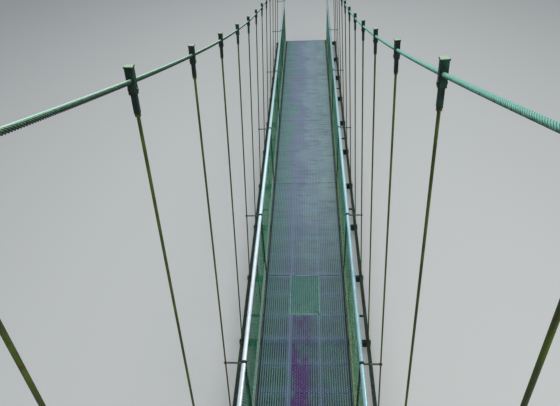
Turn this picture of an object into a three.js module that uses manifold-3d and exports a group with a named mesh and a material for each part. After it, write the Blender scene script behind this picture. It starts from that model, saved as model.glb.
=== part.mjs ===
// A painted steel suspension footbridge: six deck bays of 2.44 m with twelve hanger spaces.
// Two wire-rope main cables hang over the deck. At every station a leaning rod on each side
// comes down from a clamp on the cable to the end of a crossbeam. The crossbeams carry
// the deck frames, the mesh deck, the side panels with their posts, and the pipe handrails.
// Millimetres. X is to the right, Y along the bridge away from the near end, Z up.
// The origin is the middle of the outer face of the near end's crossbeam.

import * as THREE from "three";
import { mergeVertices } from "three/addons/utils/BufferGeometryUtils.js";
import Module from "manifold-3d";

// Layout along the bridge
const BAYS = 6;
const BAY_LENGTH = 2440;
const STATION_PITCH = BAY_LENGTH / 2;
const STATIONS = 2 * BAYS + 1;
const STATION_0 = 28; // from the near end's face to the first pair of rods
const END_FACE = BAYS * BAY_LENGTH + 2 * STATION_0;
const BARS_PER_BAY = 6;
const BAR_PITCH = BAY_LENGTH / BARS_PER_BAY;
const JOINT_BAR = 4; // the bar of a bay where one side panel ends and the next begins

// Levels
const BEAM_HEIGHT = 100;
const BEAM_TOP = BEAM_HEIGHT / 2;
const STRINGER_TOP = BEAM_TOP + 50;
const SEAT_GAP = 0.3; // what touching pieces keep between them
const DECK_THICKNESS = 6;
const DECK_TOP = STRINGER_TOP + SEAT_GAP + DECK_THICKNESS;
const RAIL_HEIGHT = 1200; // the rail's axis over the deck
const RAIL_AXIS = DECK_TOP + RAIL_HEIGHT;

// Widths, each from the middle of the bridge
const DECK_HALF = 600;
const EDGE_AT = DECK_HALF + 2;
const STRINGER_AT = 200;
const RAIL_AT = 622;
const OUTER_ANGLE_AT = 875;
const BEAM_HALF = 915;

// Sections
const BEAM_FLANGE = 50;
const BEAM_WEB = 5;
const BEAM_FLANGE_THICKNESS = 7.5;
const EDGE_LEG = 50;
const EDGE_THICKNESS = 6;
const STRINGER_WIDTH = 30;
const BAR_SIZE = 25;
const BAR_DROP = 1; // the bars' tops below the stringers' tops
const WELD_DEPTH = 1; // how far a joined piece runs into the one that carries it
const FRAME_GAP = 1; // at each end of a bay's frame
const SHEET_GAP = 0.5; // at each end of a bay's deck sheet
const OUTER_LEG = 50;
const OUTER_THICKNESS = 6;
const RAIL_RADIUS = 24.15;
const COLLAR_RADIUS = 28;
const COLLAR_LENGTH = 36;
const POST_SIZE = 38;
const POST_FOOT = [60, 46, 8];
const ROD_RADIUS = 8;
const ROD_HOLE_RADIUS = 10.5;
const CABLE_RADIUS = 11;

// Side panels: a sheet of open mesh between the posts, with a denser kick strip on its inner side
const PANEL_BOTTOM = 112;
const PANEL_TOP = RAIL_AXIS - COLLAR_RADIUS - SEAT_GAP;
const PANEL_THICKNESS = 8;
const PANEL_GAP = 4;
const KICK_HEIGHT = 280;
const KICK_THICKNESS = 6;
const PANEL_ROWS = 3; // rows of openings over the kick strip
const PANEL_STRIP = 40; // what stands between two openings, just wider than a post

// Slots that open the deck sheets, as many across and along each sheet, with their size
const SLOTS_ACROSS = 6;
const SLOTS_ALONG = 3;
const SLOT_SIZE = [100, 700];

// The overlay sheet that mends the deck's middle strip
const PATCH_THICKNESS = 5;
const PATCH_HALF = STRINGER_AT + 25;
const PATCH_FIRST_BAR = 4;
const PATCH_BAY = 1;

// The main cables: parabolas in two planes that lean in towards the top
const CABLE_LOW_AT = 23828; // where the cable's lowest point would be, along the bridge
const CABLE_LOW = RAIL_AXIS + 80;
const CABLE_SAG = 7.3e-6; // rise over the lowest point for each squared millimetre
const LEAN = 0.047;
const LEAN_ANGLE = Math.atan(LEAN);
const HANGER_AT_RAIL = 820;
const CABLE_STEPS = 32;
const CABLE_TRIM = 60; // the curve runs on past both ends, where it is then cut square

// Sides of the round pieces
const ROD_SIDES = 8;
const PIPE_SIDES = 12;

// The clamp that hangs each rod on the cable, measured from the cable's axis: a block around
// the cable, with a cap plate on it and a sleeve under it that holds the rod's end
const CLAMP_WIDTH = 36;
const CLAMP_DEPTH = 28;
const CLAMP_BOTTOM = -57;
const CLAMP_TOP = 62;
const CABLE_HOLE_RADIUS = CABLE_RADIUS + 0.8;
const CAP_PLATE = [42, 34, 8];
const SLEEVE_SIZE = 26;
const SLEEVE_BOTTOM = -150;
const WASHER_SIZE = 44;
const WASHER_THICKNESS = 6;
const WASHER_DROP = 1.2; // the leaning washer's middle below the beam, so that its edge just clears
const ROD_BELOW_BEAM = 32;

// The ties that hold each rail collar to the rod beside it
const TIE_WIDTH = 20;
const TIE_THICKNESS = 8;
const TIE_EYE = 36;
const TIE_EYE_RADIUS = ROD_RADIUS + 0.7;

// The paint, from the photograph
const DARK_GREEN = 0x2c5a46;
const RAIL_GREEN = 0x3d7a62;
const ROPE_GREEN = 0x2f6150;
const ROD_OLIVE = 0x66713c;
const DECK_GREY_GREEN = 0x4d6468;
const PATCH_GREEN = 0x3f7868;

const wasm = await Module();
wasm.setup();

// Solids

function solidOf(geometry) {
  const bare = geometry.index ? geometry.toNonIndexed() : geometry.clone();
  bare.deleteAttribute("normal");
  bare.deleteAttribute("uv");
  const merged = mergeVertices(bare, 1e-3);
  return new wasm.Manifold(
    new wasm.Mesh({
      numProp: 3,
      vertProperties: merged.attributes.position.array,
      triVerts: new Uint32Array(merged.index.array),
    }),
  );
}

function geometryOf(solid) {
  const { vertProperties, triVerts } = solid.getMesh();
  const geometry = new THREE.BufferGeometry();
  geometry.setAttribute("position", new THREE.BufferAttribute(vertProperties, 3));
  geometry.setIndex(new THREE.BufferAttribute(triVerts, 1));
  geometry.computeVertexNormals();
  return geometry;
}

function joined(geometries, cutters = []) {
  const whole = geometries.map(solidOf).reduce((a, b) => a.add(b));
  return geometryOf(cutters.map(solidOf).reduce((a, b) => a.subtract(b), whole));
}

// Plain shapes, each given by where it lies

function around(middle, size) {
  return [middle - size / 2, middle + size / 2];
}

function block([x0, x1], [y0, y1], [z0, z1]) {
  return new THREE.BoxGeometry(x1 - x0, y1 - y0, z1 - z0).translate(
    (x0 + x1) / 2,
    (y0 + y1) / 2,
    (z0 + z1) / 2,
  );
}

function tubeAlongY(radius, y0, y1, sides, x = 0, z = 0) {
  return new THREE.CylinderGeometry(radius, radius, y1 - y0, sides).translate(x, (y0 + y1) / 2, z);
}

function rodAlongZ(radius, z0, z1, sides) {
  return new THREE.CylinderGeometry(radius, radius, z1 - z0, sides)
    .rotateX(Math.PI / 2)
    .translate(0, 0, (z0 + z1) / 2);
}

// A section drawn in its own plane and run along an axis of the bridge
function bar(points, length, along) {
  const shape = new THREE.Shape(points.map(([u, v]) => new THREE.Vector2(u, v)));
  const geometry = new THREE.ExtrudeGeometry(shape, { depth: length, bevelEnabled: false });
  const [x, y, z] = [new THREE.Vector3(1, 0, 0), new THREE.Vector3(0, 1, 0), new THREE.Vector3(0, 0, 1)];
  const axes = along === "x" ? [y, z, x] : [z, x, y];
  return geometry.applyMatrix4(new THREE.Matrix4().makeBasis(...axes));
}

// Deck frames

// A crossbeam's channel, with its web's outer face at y and its flanges towards +Y or -Y
function crossbeam(y, towards) {
  const half = BEAM_HEIGHT / 2;
  const inner = half - BEAM_FLANGE_THICKNESS;
  const section = [
    [0, -half],
    [BEAM_FLANGE, -half],
    [BEAM_FLANGE, -inner],
    [BEAM_WEB, -inner],
    [BEAM_WEB, inner],
    [BEAM_FLANGE, inner],
    [BEAM_FLANGE, half],
    [0, half],
  ].map(([u, v]) => [u * towards, v]);
  return bar(section, 2 * BEAM_HALF, "x").translate(-BEAM_HALF, y, 0);
}

// Where the rods pass through a crossbeam's flanges, along their own lean
function rodHoles(y) {
  return [-1, 1].map((side) =>
    rodAlongZ(ROD_HOLE_RADIUS, -BEAM_HEIGHT, BEAM_HEIGHT, ROD_SIDES)
      .rotateY(-side * LEAN_ANGLE)
      .translate(side * hangerAt(0), y, 0),
  );
}

// An edge angle along the bridge: one leg down to the crossbeams, the other flat under the deck.
// bar() draws a section that runs along Y with its first coordinate along Z and its second along X.
function edgeAngle(side, y0, y1) {
  const base = BEAM_TOP - WELD_DEPTH;
  const section = [
    [base, 0],
    [STRINGER_TOP, 0],
    [STRINGER_TOP, -EDGE_LEG],
    [STRINGER_TOP - EDGE_THICKNESS, -EDGE_LEG],
    [STRINGER_TOP - EDGE_THICKNESS, -EDGE_THICKNESS],
    [base, -EDGE_THICKNESS],
  ].map(([z, x]) => [z, side * x]);
  return bar(section, y1 - y0, "y").translate(side * EDGE_AT, y0, 0);
}

// The angle along the beams' ends: one leg flat on the crossbeams, where the rods pass through it, the
// other standing on its inner side.
function outerAngle(side, y0, y1) {
  const base = BEAM_TOP - WELD_DEPTH;
  const half = OUTER_LEG / 2;
  const section = [
    [base, -half],
    [base + OUTER_LEG, -half],
    [base + OUTER_LEG, OUTER_THICKNESS - half],
    [base + OUTER_THICKNESS, OUTER_THICKNESS - half],
    [base + OUTER_THICKNESS, half],
    [base, half],
  ].map(([z, x]) => [z, side * x]);
  return bar(section, y1 - y0, "y").translate(side * OUTER_ANGLE_AT, y0, 0);
}

function deckFrame(bay) {
  const last = bay === BAYS - 1;
  const length = last ? BAY_LENGTH + 2 * STATION_0 : BAY_LENGTH - FRAME_GAP;
  const [start, end] = [FRAME_GAP, length - FRAME_GAP];
  const edgeInside = EDGE_AT - EDGE_THICKNESS / 2;
  const barLevels = [STRINGER_TOP - BAR_DROP - BAR_SIZE, STRINGER_TOP - BAR_DROP];
  const barAt = (y, reach) => block(reach, around(y, BAR_SIZE), barLevels);
  const barPlaces = [start + BAR_SIZE, end - BAR_SIZE];
  for (let j = 1; j < BARS_PER_BAY; j++) barPlaces.push(STATION_0 + j * BAR_PITCH);

  const pieces = [crossbeam(0, 1), crossbeam(STATION_PITCH, 1)];
  const cutters = [...rodHoles(STATION_0), ...rodHoles(STATION_0 + STATION_PITCH)];
  if (last) {
    pieces.push(crossbeam(length, -1));
    cutters.push(...rodHoles(STATION_0 + BAY_LENGTH));
  }
  for (const side of [-1, 1]) {
    const stringer = around(side * STRINGER_AT, STRINGER_WIDTH);
    pieces.push(edgeAngle(side, start, end));
    pieces.push(block(stringer, [start, end], [BEAM_TOP - WELD_DEPTH, STRINGER_TOP]));
    pieces.push(outerAngle(side, start, end));
    if (hasPanelJoint(bay)) {
      const outer = OUTER_ANGLE_AT - OUTER_LEG / 2 + OUTER_THICKNESS / 2;
      const reach = [side * edgeInside, side * outer].sort((a, b) => a - b);
      pieces.push(barAt(STATION_0 + JOINT_BAR * BAR_PITCH, reach));
    }
  }
  pieces.push(...barPlaces.map((y) => barAt(y, [-edgeInside, edgeInside])));
  return joined(pieces, cutters);
}

function deckSheet(bay) {
  const end = bay === BAYS - 1 ? BAY_LENGTH + 2 * STATION_0 : BAY_LENGTH - SHEET_GAP;
  const sheet = block([-DECK_HALF, DECK_HALF], [SHEET_GAP, end], [DECK_TOP - DECK_THICKNESS, DECK_TOP]);
  const [width, length] = SLOT_SIZE;
  const slots = [];
  for (let i = 0; i < SLOTS_ACROSS; i++) {
    for (let j = 0; j < SLOTS_ALONG; j++) {
      const x = ((i + 0.5) / SLOTS_ACROSS - 0.5) * 2 * DECK_HALF;
      const y = STATION_0 + ((j + 0.5) / SLOTS_ALONG) * BAY_LENGTH;
      slots.push(block(around(x, width), around(y, length), [STRINGER_TOP, 2 * DECK_TOP]));
    }
  }
  return joined([sheet], slots);
}

function deckPatch() {
  const start = STATION_0 + PATCH_FIRST_BAR * BAR_PITCH;
  return block(
    [-PATCH_HALF, PATCH_HALF],
    [start, BAY_LENGTH - FRAME_GAP],
    [DECK_TOP + SEAT_GAP, DECK_TOP + SEAT_GAP + PATCH_THICKNESS],
  );
}

// Side panels

function hasPanelJoint(bay) {
  return bay > 0 && bay < BAYS - 1;
}

function panelEnds() {
  const ends = [0];
  for (let bay = 0; bay < BAYS; bay++) {
    if (hasPanelJoint(bay)) ends.push(bay * BAY_LENGTH + STATION_0 + JOINT_BAR * BAR_PITCH);
  }
  return [...ends, END_FACE];
}

// A post under each rail collar, on the crossbeam of every second station
function post(side, y) {
  const [footX, footY, footZ] = POST_FOOT;
  const foot = BEAM_TOP + SEAT_GAP;
  const footAt = RAIL_AT - POST_SIZE / 2 + footX / 2;
  return [
    block(around(side * RAIL_AT, POST_SIZE), around(y, POST_SIZE), [foot, PANEL_TOP]),
    block(around(side * footAt, footX), around(y, footY), [foot, foot + footZ]),
  ];
}

// The openings between a panel's strips: in each row, one between each two bars of the deck
function panelWindows(side, start, end) {
  const base = PANEL_BOTTOM + KICK_HEIGHT;
  const pitch = (PANEL_TOP - base) / PANEL_ROWS;
  const across = around(side * RAIL_AT, 2 * PANEL_THICKNESS);
  const windows = [];
  for (let i = 0; i < BAYS * BARS_PER_BAY; i++) {
    const y = STATION_0 + (i + 0.5) * BAR_PITCH;
    if (y < start || y > end) continue;
    for (let row = 0; row < PANEL_ROWS; row++) {
      const z = base + (row + 0.5) * pitch;
      windows.push(block(across, around(y, BAR_PITCH - PANEL_STRIP), around(z, pitch - PANEL_STRIP)));
    }
  }
  return windows;
}

function sidePanel(side, start, end) {
  const y0 = start === 0 ? STATION_0 : start + PANEL_GAP / 2;
  const y1 = end === END_FACE ? END_FACE - STATION_0 : end - PANEL_GAP / 2;
  const kickInside = RAIL_AT - PANEL_THICKNESS / 2 - KICK_THICKNESS;
  const kick = [side * kickInside, side * RAIL_AT].sort((a, b) => a - b);
  const pieces = [
    block(around(side * RAIL_AT, PANEL_THICKNESS), [y0, y1], [PANEL_BOTTOM, PANEL_TOP]),
    block(kick, [y0, y1], [PANEL_BOTTOM, PANEL_BOTTOM + KICK_HEIGHT]),
  ];
  for (let station = 0; station < STATIONS; station += 2) {
    const y = stationY(station);
    if (y > start && y < end) pieces.push(...post(side, y));
  }
  return joined(pieces, panelWindows(side, start, end));
}

// Handrails

function handrail(side) {
  const rodAt = side * HANGER_AT_RAIL;
  const pieces = [tubeAlongY(RAIL_RADIUS, 0, END_FACE, PIPE_SIDES, side * RAIL_AT, RAIL_AXIS)];
  const cutters = [];
  const level = around(RAIL_AXIS, TIE_THICKNESS);
  for (let station = 0; station < STATIONS; station += 2) {
    const y = stationY(station);
    const collar = around(y, COLLAR_LENGTH);
    pieces.push(tubeAlongY(COLLAR_RADIUS, ...collar, PIPE_SIDES, side * RAIL_AT, RAIL_AXIS));
    const reach = [side * RAIL_AT, rodAt].sort((a, b) => a - b);
    pieces.push(block(reach, around(y, TIE_WIDTH), level));
    pieces.push(block(around(rodAt, TIE_EYE), around(y, TIE_EYE), level));
    cutters.push(
      rodAlongZ(TIE_EYE_RADIUS, -BEAM_HEIGHT, BEAM_HEIGHT, ROD_SIDES)
        .rotateY(-side * LEAN_ANGLE)
        .translate(rodAt, y, RAIL_AXIS),
    );
  }
  return joined(pieces, cutters);
}

// Main cables and hangers

function stationY(station) {
  return STATION_0 + station * STATION_PITCH;
}

// How far from the middle a cable or a rod is at a level
function hangerAt(z) {
  return HANGER_AT_RAIL - LEAN * (z - RAIL_AXIS);
}

function cableHeight(y) {
  return CABLE_LOW + CABLE_SAG * (CABLE_LOW_AT - y) ** 2;
}

function cableSlope(y) {
  return -2 * CABLE_SAG * (CABLE_LOW_AT - y);
}

// A parabola is a quadratic curve whose middle point lies where its end tangents meet
function mainCable(side) {
  const [y0, y2] = [-CABLE_TRIM, END_FACE + CABLE_TRIM];
  const y1 = (y0 + y2) / 2;
  const heights = [cableHeight(y0), cableHeight(y0) + cableSlope(y0) * (y1 - y0), cableHeight(y2)];
  const ends = [y0, y1, y2].map((y, i) => new THREE.Vector3(side * hangerAt(heights[i]), y, heights[i]));
  const section = new THREE.Shape();
  section.absarc(0, 0, CABLE_RADIUS, 0, 2 * Math.PI);
  const rope = new THREE.ExtrudeGeometry(section, {
    curveSegments: ROD_SIDES / 2,
    steps: CABLE_STEPS,
    bevelEnabled: false,
    extrudePath: new THREE.QuadraticBezierCurve3(...ends),
  });
  const room = block([-2 * BEAM_HALF, 2 * BEAM_HALF], [0, END_FACE], [0, 2 * cableHeight(0)]);
  return geometryOf(solidOf(rope).intersect(solidOf(room)));
}

// One hanger in its own leaning frame: its origin is where it crosses the cable's axis
function hanger(station) {
  const y = stationY(station);
  const [capX, capY, capZ] = CAP_PLATE;
  const beamBottom = -(cableHeight(y) + BEAM_HEIGHT / 2) / Math.cos(LEAN_ANGLE);
  const washerTop = beamBottom - WASHER_DROP;
  const washerBottom = washerTop - WASHER_THICKNESS;
  // the cable leans with the hanger, so in this frame it only slopes along the bridge
  const slope = Math.atan(cableSlope(y) / Math.cos(LEAN_ANGLE));
  const cableHole = tubeAlongY(CABLE_HOLE_RADIUS, ...around(0, 4 * CLAMP_DEPTH), PIPE_SIDES).rotateX(slope);
  return joined(
    [
      block(around(0, CLAMP_WIDTH), around(0, CLAMP_DEPTH), [CLAMP_BOTTOM, CLAMP_TOP]),
      block(around(0, capX), around(0, capY), [CLAMP_TOP - WELD_DEPTH, CLAMP_TOP + capZ]),
      block(around(0, SLEEVE_SIZE), around(0, SLEEVE_SIZE), [SLEEVE_BOTTOM, CLAMP_BOTTOM + WELD_DEPTH]),
      rodAlongZ(ROD_RADIUS, washerBottom - ROD_BELOW_BEAM, SLEEVE_BOTTOM + WELD_DEPTH, ROD_SIDES),
      block(around(0, WASHER_SIZE), around(0, WASHER_SIZE), [washerBottom, washerTop]),
    ],
    [cableHole],
  );
}

// The bridge

const bridge = new THREE.Group();

function add(name, geometry, color, roughness, metalness, parent = bridge) {
  const mesh = new THREE.Mesh(geometry, new THREE.MeshStandardMaterial({ color, roughness, metalness }));
  mesh.name = name;
  parent.add(mesh);
  return mesh;
}

for (let bay = 0; bay < BAYS; bay++) {
  const group = new THREE.Group();
  group.position.y = bay * BAY_LENGTH;
  bridge.add(group);
  add(`deck_frame_${bay + 1}`, deckFrame(bay), DARK_GREEN, 0.55, 0.3, group);
  add(`deck_sheet_${bay + 1}`, deckSheet(bay), DECK_GREY_GREEN, 0.6, 0.3, group);
  if (bay === PATCH_BAY) add("deck_patch", deckPatch(), PATCH_GREEN, 0.5, 0.3, group);
}

for (const [name, side] of [
  ["left", -1],
  ["right", 1],
]) {
  const ends = panelEnds();
  for (let i = 0; i + 1 < ends.length; i++) {
    add(`side_panel_${name}_${i + 1}`, sidePanel(side, ends[i], ends[i + 1]), DARK_GREEN, 0.5, 0.3);
  }
  add(`handrail_${name}`, handrail(side), RAIL_GREEN, 0.2, 0.4);
  add(`main_cable_${name}`, mainCable(side), ROPE_GREEN, 0.45, 0.4);
  for (let station = 0; station < STATIONS; station++) {
    const y = stationY(station);
    const number = String(station).padStart(2, "0");
    const mesh = add(`hanger_${name}_${number}`, hanger(station), ROD_OLIVE, 0.5, 0.4);
    mesh.position.set(side * hangerAt(cableHeight(y)), y, cableHeight(y));
    mesh.rotation.y = -side * LEAN_ANGLE;
  }
}

export default bridge;
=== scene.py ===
"""Looks of the painted steel suspension footbridge: six deck bays between wire-rope main cables."""

import math

import bmesh
import bpy
from mathutils import Matrix, Vector


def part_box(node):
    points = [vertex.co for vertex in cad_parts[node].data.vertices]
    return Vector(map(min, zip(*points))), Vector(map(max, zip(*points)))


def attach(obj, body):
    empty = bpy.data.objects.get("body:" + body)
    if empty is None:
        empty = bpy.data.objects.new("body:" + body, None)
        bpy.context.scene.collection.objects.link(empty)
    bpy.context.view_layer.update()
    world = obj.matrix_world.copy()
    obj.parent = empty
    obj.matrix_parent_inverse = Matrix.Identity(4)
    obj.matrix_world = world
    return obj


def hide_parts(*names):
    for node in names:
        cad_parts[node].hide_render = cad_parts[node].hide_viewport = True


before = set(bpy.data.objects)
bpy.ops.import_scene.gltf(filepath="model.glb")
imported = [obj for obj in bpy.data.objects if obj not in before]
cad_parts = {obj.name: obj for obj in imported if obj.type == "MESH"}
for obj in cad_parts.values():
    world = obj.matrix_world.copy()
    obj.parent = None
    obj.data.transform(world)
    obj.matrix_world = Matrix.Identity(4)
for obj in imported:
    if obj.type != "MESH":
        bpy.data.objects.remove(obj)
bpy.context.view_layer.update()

# Layout, in metres: X to the right, Y along the bridge, Z up
BAYS = 6
BAY_LENGTH = 2.44
STATION_PITCH = BAY_LENGTH / 2
STATIONS = 2 * BAYS + 1
STATION_0 = 0.028
BARS_PER_BAY = 6
BAR_PITCH = BAY_LENGTH / BARS_PER_BAY
PANEL_JOINT_BAR = 4
END_FACE = BAYS * BAY_LENGTH + 2 * STATION_0
SIDES = {"left": -1, "right": 1}
ALONG_BRIDGE = Matrix.Rotation(math.pi / 2, 4, "X")

# Beams, deck and patch
BEAM_HALF_HEIGHT = 0.05
BEAM_FLANGE = 0.05
STRINGER_AT = 0.2
STRINGER_HALF_WIDTH = 0.026
DECK_HALF = 0.6
PATCH_BORDER = 0.018
PATCH_BORDER_THICKNESS = 0.003
PATCH_EDGE = 0.0006

# Expanded metal: the long way of its diamonds, the short way, and its strands
DECK_DIAMOND = (0.06, 0.022)
DECK_STRAND = (0.0113, 0.0022)
KICK_DIAMOND = (0.066, 0.028)
KICK_STRAND = (0.0075, 0.002)
STRAND_TILT = math.radians(30)

# Handrails, collars, ties and posts
RAIL_AT = 0.622
RAIL_AXIS = 1.3063
RAIL_RADIUS = 0.02415
RAIL_WALL = 0.0032
RAIL_SIDES = 40
COLLAR_RADIUS = 0.028
COLLAR_LENGTH = 0.036
COLLAR_PLAY = 0.0002
COLLAR_EDGE = 0.0015
TIE_WIDTH = 0.02
TIE_THICKNESS = 0.008
TIE_INTO_COLLAR = 0.002
TIE_SHORT_OF_ROD = 0.002
TIE_EYE_RADIUS = 0.018
TIE_EYE_PLAY = 0.0005
POST_SIZE = 0.038
POST_EDGE = 0.003
POST_FOOT = (0.06, 0.046, 0.008)
FOOT_SEAT = 0.0003
FOOT_BOLT = (0.013, 0.006)
FOOT_BOLT_INSET = 0.011
SOFT_EDGE = 0.001

# Side panels
PANEL_BOTTOM = 0.112
PANEL_TOP = 1.278
PANEL_GAP = 0.004
PANEL_ROD = 0.004
PANEL_END_BAR = 0.016
FOOT_BAR_GAP = 0.0035
FOOT_BAR_THICKNESS = 0.005
KICK_HEIGHT = 0.28
KICK_INSET = 0.007
LINK_PITCH = 0.033
LINK_WIRE = 0.003

# Main cables
CABLE_RADIUS = 0.011
CABLE_LOW_AT = 23.828
CABLE_LOW = RAIL_AXIS + 0.08
CABLE_SAG = 0.0073
LEAN = 0.047
LEAN_ANGLE = math.atan(LEAN)
HANGER_AT_RAIL = 0.82
ROPE_STRANDS = 6
ROPE_RIDGE_STEP = 0.0147
RINGS_PER_RIDGE = 2
RING_STEP = ROPE_RIDGE_STEP / RINGS_PER_RIDGE
VALLEY_RADIUS = 0.0068
SHOULDER_RADIUS = 0.91 * CABLE_RADIUS

# Hangers, with their levels counted from the cable's axis
ROD_RADIUS = 0.008
ROD_BELOW_BEAM = 0.032
CLAMP_WIDTH = 0.036
CLAMP_DEPTH = 0.028
CLAMP_BOTTOM = -0.057
CLAMP_TOP = 0.062
CLAMP_BOLT = (0.013, 0.004)
CLAMP_BOLT_UP = 0.02
CABLE_HOLE_RADIUS = CABLE_RADIUS + 0.0008
CABLE_HOLE_SIDES = 20
CAP_PLATE = (0.042, 0.034, 0.008)
CAP_EDGE = 0.002
SLEEVE_SIZE = 0.026
SLEEVE_BOTTOM = -0.15
SLEEVE_EDGE = 0.003
WASHER_SIZE = 0.044
WASHER_THICKNESS = 0.006
WASHER_DROP = 0.0012
WASHER_EDGE = 0.0008
NUT = (0.024, 0.013)
NUT_GAP = 0.0005
THREAD_PITCH = 0.0025
THREAD_CREST = ROD_RADIUS + 0.0004
THREAD_ROOT = ROD_RADIUS - 0.0006
THREAD_CORE = 0.001
THREAD_END = 0.001
UPPER_THREAD = 0.03

# The photograph's camera, fitted to the rails, collars, deck lines and rods that it shows
IMAGE_WIDTH = 560
SENSOR_WIDTH = 36
FOCAL_PIXELS = 512.9
CAMERA_PLACE = (0.104, -0.721, 6.0186)
CAMERA_YAW = math.radians(4.402)
CAMERA_PITCH = math.radians(38.445)
CAMERA_ROLL = math.radians(-3.246)

# The floor
FLOOR_LEVEL = -0.12
FLOOR_HALF = 60


def station_y(station):
    return STATION_0 + station * STATION_PITCH


def hanger_at(z):
    """How far from the middle a rod or a cable is at a level."""
    return HANGER_AT_RAIL - LEAN * (z - RAIL_AXIS)


def leaned(side):
    """The turn of a hanger into its cable's leaning plane."""
    return Matrix.Rotation(-side * LEAN_ANGLE, 4, "Y")


def cable_height(y):
    return CABLE_LOW + CABLE_SAG * (CABLE_LOW_AT - y) ** 2


def cable_slope(y):
    return -2 * CABLE_SAG * (CABLE_LOW_AT - y)


def around(middle, size):
    """The two ends of a size about its middle."""
    return middle - size / 2, middle + size / 2


# Camera, floor and light


def set_camera():
    """Looks along the deck from above the near end, turned, tipped and rolled as the photograph is."""
    data = bpy.data.cameras.new("photo_camera")
    data.sensor_width = SENSOR_WIDTH
    data.lens = FOCAL_PIXELS / IMAGE_WIDTH * SENSOR_WIDTH
    data.clip_end = 200
    level = Vector((-math.sin(CAMERA_YAW), math.cos(CAMERA_YAW), 0))
    right = Vector((math.cos(CAMERA_YAW), math.sin(CAMERA_YAW), 0))
    up = Vector((0, 0, 1))
    forward = level * math.cos(CAMERA_PITCH) - up * math.sin(CAMERA_PITCH)
    top = level * math.sin(CAMERA_PITCH) + up * math.cos(CAMERA_PITCH)
    x_axis = right * math.cos(CAMERA_ROLL) + top * math.sin(CAMERA_ROLL)
    y_axis = top * math.cos(CAMERA_ROLL) - right * math.sin(CAMERA_ROLL)
    turn = Matrix((x_axis, y_axis, -forward)).transposed().to_4x4()
    camera = bpy.data.objects.new("photo_camera", data)
    camera.matrix_world = Matrix.Translation(CAMERA_PLACE) @ turn
    bpy.context.scene.collection.objects.link(camera)
    bpy.context.scene.camera = camera


def add_light(name, place, target, size, power, color):
    data = bpy.data.lights.new(name, "AREA")
    data.shape = "RECTANGLE"
    data.size, data.size_y = size
    data.energy = power
    data.color = color
    lamp = bpy.data.objects.new(name, data)
    lamp.location = place
    lamp.rotation_euler = (Vector(target) - Vector(place)).to_track_quat("-Z", "Y").to_euler()
    bpy.context.scene.collection.objects.link(lamp)


def set_stage():
    """A pale floor just under the rods' ends, a pale surround and two large soft lights."""
    middle = END_FACE / 2
    bm = bmesh.new()
    bmesh.ops.create_grid(bm, x_segments=1, y_segments=1, size=FLOOR_HALF)
    bmesh.ops.translate(bm, verts=bm.verts, vec=(0, middle, FLOOR_LEVEL))
    floor = add_object("floor", bm, [floor_paint()])
    world = bpy.data.worlds.new("soft_surround")
    world.use_nodes = True
    background = world.node_tree.nodes["Background"]
    background.inputs["Color"].default_value = (0.86, 0.93, 1.0, 1)
    background.inputs["Strength"].default_value = 0.55
    bpy.context.scene.world = world
    bpy.context.scene.view_settings.view_transform = "Standard"
    add_light(
        "overhead", place=(0, middle, 14), target=(0, middle, 0), size=(10, 26), power=2600,
        color=(0.93, 0.97, 1.0),
    )
    add_light(
        "key", place=(9, -6, 11), target=(0, 7, 0.5), size=(5, 5), power=1100,
        color=(1.0, 0.97, 0.9),
    )


# Objects and meshes


def add_object(name, bm, materials, smooth=False):
    mesh = bpy.data.meshes.new(name)
    bm.to_mesh(mesh)
    bm.free()
    if smooth:
        mesh.shade_smooth()
    for material in materials:
        mesh.materials.append(material)
    obj = bpy.data.objects.new(name, mesh)
    bpy.context.scene.collection.objects.link(obj)
    return obj


def add_piece(name, bm, materials, nodes, smooth=False):
    """A finished piece of the bridge, which stands for the plain nodes named."""
    obj = add_object(name, bm, materials, smooth)
    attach(obj, "root")
    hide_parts(*nodes)


def repeated(bm, *steps):
    """The unit mesh repeated, count times along each step, with the seams between repeats welded."""
    unit = add_object("unit", bm, [])
    for count, step in steps:
        array = unit.modifiers.new("repeat", "ARRAY")
        array.count = count
        array.use_relative_offset = False
        array.use_constant_offset = True
        array.constant_offset_displace = step
        array.use_merge_vertices = True
        array.merge_threshold = 1e-5
    whole = bmesh.new()
    whole.from_object(unit, bpy.context.evaluated_depsgraph_get())
    bpy.data.objects.remove(unit)
    return whole


def close_ends(bm):
    """Fills every open loop, so that the mesh is closed, and turns its faces outwards."""
    edges = [edge for edge in bm.edges if edge.is_boundary]
    bmesh.ops.holes_fill(bm, edges=edges, sides=0)
    bmesh.ops.recalc_face_normals(bm, faces=bm.faces)


def extrude_ring(bm, edges):
    """Extrudes a loop of edges in place; returns the new loop's points and edges."""
    made = bmesh.ops.extrude_edge_only(bm, edges=edges)["geom"]
    ring = [item for item in made if isinstance(item, bmesh.types.BMVert)]
    edges = [item for item in made if isinstance(item, bmesh.types.BMEdge)]
    return ring, [edge for edge in edges if all(vert in ring for vert in edge.verts)]


def set_slot(verts, material):
    """Gives the faces at some points a material slot."""
    for face in {face for vert in verts for face in vert.link_faces}:
        face.material_index = material


def add_box(bm, x, y, z, bevel=0.0, material=0):
    """A block between two values on each axis, with softened edges."""
    made = bmesh.ops.create_cube(bm, size=1)["verts"]
    sizes = [high - low for low, high in (x, y, z)]
    middle = [(low + high) / 2 for low, high in (x, y, z)]
    bmesh.ops.scale(bm, verts=made, vec=sizes)
    bmesh.ops.translate(bm, verts=made, vec=middle)
    set_slot(made, material)
    if bevel:
        edges = {edge for vert in made for edge in vert.link_edges}
        bmesh.ops.bevel(
            bm, geom=list(edges), offset=bevel, offset_type="OFFSET", segments=1, profile=0.5,
            affect="EDGES", material=-1,
        )


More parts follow.
